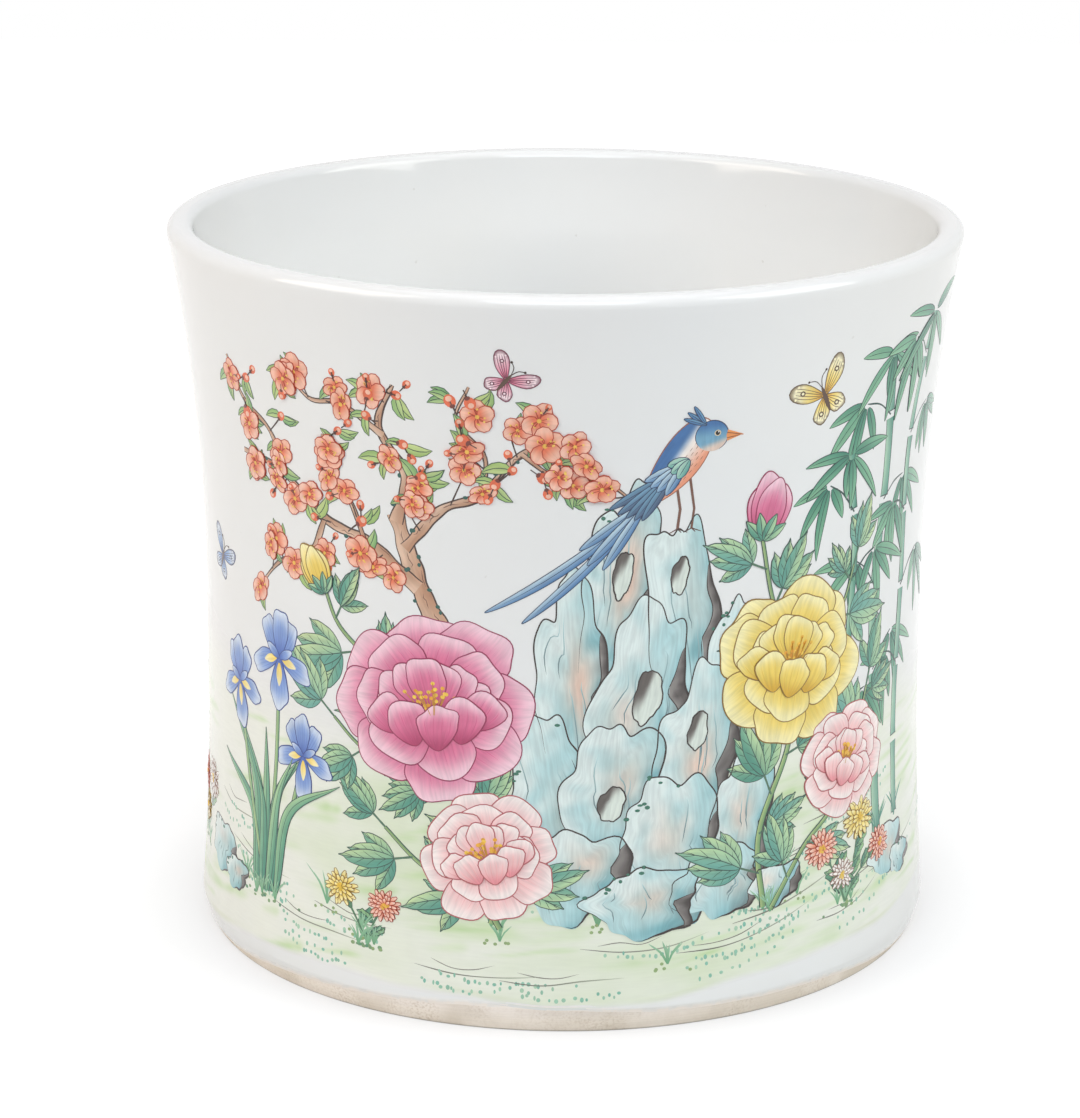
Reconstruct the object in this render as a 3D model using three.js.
// A glazed porcelain brush pot: a waisted cylinder with a rounded lip, a bevelled bare foot and a recessed base.
// The paste and its three coats of glaze are separate solids, as they are separate materials in the firing.
// Millimetres, +Z up. The origin is the middle of the foot's resting plane.
import * as THREE from "three";

// Driving dimensions of the glazed pot
const HEIGHT = 173;
const LIP_DIAMETER = 190;
const WAIST_DIAMETER = 175;
const WAIST_TOP = 85;
const WAIST_BOTTOM = 60;
const FOOT_DIAMETER = 180;
const LIP_WALL = 6.4;
const WAIST_WALL = 7.6;
const LIP_ROUND = 2.5;
const FLOOR_THICKNESS = 8;
const FLOOR_CORNER_RADIUS = 14;

// The foot: a bare band that slopes in to a flat resting ring, round a recess in the underside
const BAND_HEIGHT = 6;
const BAND_SLOPE = 1.8;
const RING_EDGE_ROUND = 0.7;
const RING_WIDTH = 13;
const RECESS_DEPTH = 4.5;
const RECESS_ROUND = 1.6;

// The coats of glaze, and the hairline kept between each coat and what it lies on
const GLAZE_THICKNESS = 0.4;
const BOND_GAP = 0.05;

// Steps round the axis, and along each stretch of the section
const TURN_STEPS = 64;
const WALL_STEPS = 5;
const ROUND_STEPS = 4;
const SMALL_ROUND_STEPS = 2;

const RIGHT_ANGLE = Math.PI / 2;
const lipRadius = LIP_DIAMETER / 2;
const waistRadius = WAIST_DIAMETER / 2;
const footRadius = FOOT_DIAMETER / 2;
const mouthRadius = lipRadius - LIP_WALL;
const boreRadius = waistRadius - WAIST_WALL;
const lipRoundHeight = HEIGHT - LIP_ROUND;
const floorHeight = RECESS_DEPTH + FLOOR_THICKNESS;
const coatDepth = GLAZE_THICKNESS + BOND_GAP;
const ringOuterRadius = footRadius - BAND_SLOPE;
const ringInnerRadius = ringOuterRadius - RING_WIDTH;

// A point of the section: its distance from the axis, and its height
const point = (r, z) => new THREE.Vector2(r, z);

// A round stretch of the section; angles run anticlockwise from straight outwards
function arc(centre, radius, from, to, steps) {
  return Array.from({ length: steps + 1 }, (_, i) => {
    const angle = from + ((to - from) * i) / steps;
    return point(centre.x + radius * Math.cos(angle), centre.y + radius * Math.sin(angle));
  });
}

// The radius of an arc that starts upright and has moved sideways by reach when it has climbed by rise
const flareRadius = (reach, rise) => (reach * reach + rise * rise) / (2 * reach);

// The visible surface from the edge of the bare band up the outer wall and over the lip's outer round
function outerSide() {
  const footRise = WAIST_BOTTOM - BAND_HEIGHT;
  const footFlare = flareRadius(footRadius - waistRadius, footRise);
  const footAngle = Math.asin(footRise / footFlare);
  const footCentre = point(waistRadius + footFlare, WAIST_BOTTOM);
  const lower = arc(footCentre, footFlare, Math.PI + footAngle, Math.PI, WALL_STEPS);

  // The lip's round touches the flare from outside, so their centres lie the sum of the two radii apart
  const lipRise = lipRoundHeight - WAIST_TOP;
  const centresApart = flareRadius(lipRadius - waistRadius, lipRise);
  const lipFlare = centresApart - LIP_ROUND;
  const lipAngle = Math.asin(lipRise / centresApart);
  const lipCentre = point(waistRadius + lipFlare, WAIST_TOP);
  const upper = arc(lipCentre, lipFlare, Math.PI, Math.PI - lipAngle, WALL_STEPS);
  const roundCentre = point(lipRadius - LIP_ROUND, lipRoundHeight);
  const round = arc(roundCentre, LIP_ROUND, -lipAngle, RIGHT_ANGLE, ROUND_STEPS);
  return [...lower, ...upper.slice(0, -1), ...round];
}

// The visible surface from the lip's inner round down the bore, round the corner and in to the floor's middle
function innerSide() {
  // This round lies inside the flare's circle, so their centres lie the difference of the two radii apart
  const lipRise = lipRoundHeight - WAIST_TOP;
  const centresApart = flareRadius(mouthRadius - boreRadius, lipRise);
  const flare = centresApart + LIP_ROUND;
  const lipAngle = Math.asin(lipRise / centresApart);
  const roundCentre = point(mouthRadius + LIP_ROUND, lipRoundHeight);
  const round = arc(roundCentre, LIP_ROUND, RIGHT_ANGLE, Math.PI - lipAngle, ROUND_STEPS);
  const flareCentre = point(boreRadius + flare, WAIST_TOP);
  const upper = arc(flareCentre, flare, Math.PI - lipAngle, Math.PI, WALL_STEPS);
  const cornerCentre = point(boreRadius - FLOOR_CORNER_RADIUS, floorHeight + FLOOR_CORNER_RADIUS);
  const corner = arc(cornerCentre, FLOOR_CORNER_RADIUS, 0, -RIGHT_ANGLE, ROUND_STEPS);
  return [...round, ...upper.slice(1), ...corner, point(0, floorHeight)];
}

// The visible surface of the recess, from its middle out to its corner and down to the resting ring
function recessSide() {
  const cornerCentre = point(ringInnerRadius - RECESS_ROUND, RECESS_DEPTH - RECESS_ROUND);
  const corner = arc(cornerCentre, RECESS_ROUND, RIGHT_ANGLE, 0, SMALL_ROUND_STEPS);
  return [point(0, RECESS_DEPTH), ...corner, point(ringInnerRadius, RING_EDGE_ROUND)];
}

// The bare surface, from the recess's edge across the resting ring and up the sloping band to the glaze
function bareFoot() {
  const edgeCentre = point(ringOuterRadius - RING_EDGE_ROUND, RING_EDGE_ROUND);
  const edge = arc(edgeCentre, RING_EDGE_ROUND, -RIGHT_ANGLE, 0, SMALL_ROUND_STEPS);
  const bandTop = point(footRadius - coatDepth, BAND_HEIGHT);
  return [point(ringInnerRadius + RING_EDGE_ROUND, 0), ...edge, bandTop];
}

// Where the outer coat, on side 1, and the inner coat, on side -1, meet on the crest of the lip
const crest = (side) => point((lipRadius + mouthRadius + side * BOND_GAP) / 2, HEIGHT);

// A line of the section moved into the wall, which lies on its left, with mitred corners
function inset(line, depth) {
  const normals = line.slice(1).map((end, i) => {
    const along = end.clone().sub(line[i]).normalize();
    return point(-along.y, along.x);
  });
  return line.map((here, i) => {
    const before = normals[Math.max(i - 1, 0)];
    const after = normals[Math.min(i, normals.length - 1)];
    const share = depth / (1 + before.dot(after));
    return here.clone().addScaledVector(before, share).addScaledVector(after, share);
  });
}

// The solid of revolution of a section whose wall lies on the left of its line
function revolve(section, material, name) {
  const geometry = new THREE.LatheGeometry(section, TURN_STEPS);
  geometry.rotateX(RIGHT_ANGLE);
  const mesh = new THREE.Mesh(geometry, material);
  mesh.name = name;
  return mesh;
}

const paste = new THREE.MeshStandardMaterial({ color: 0xd9cbb9, roughness: 0.85, metalness: 0 });
const clearGlaze = new THREE.MeshStandardMaterial({ color: 0xecedea, roughness: 0.08, metalness: 0 });

function porcelainBody() {
  const underside = inset(recessSide(), coatDepth);
  const sides = inset([...outerSide(), crest(0), ...innerSide()], coatDepth);
  return revolve([...underside, ...bareFoot(), ...sides.slice(1)], paste, "porcelain_body");
}

function outerGlaze() {
  const surface = [...outerSide(), crest(1)];
  const underside = inset(surface, GLAZE_THICKNESS).reverse();
  return revolve([...underside, ...surface, underside[0]], clearGlaze, "outer_glaze");
}

function innerGlaze() {
  const surface = [crest(-1), ...innerSide()];
  const underside = inset(surface, GLAZE_THICKNESS).reverse();
  return revolve([...underside, ...surface], clearGlaze, "inner_glaze");
}

function baseGlaze() {
  const surface = recessSide();
  const underside = inset(surface, GLAZE_THICKNESS).reverse();
  return revolve([...surface, ...underside], clearGlaze, "base_glaze");
}

const brushPot = new THREE.Group();
brushPot.add(porcelainBody(), outerGlaze(), innerGlaze(), baseGlaze());

export default brushPot;
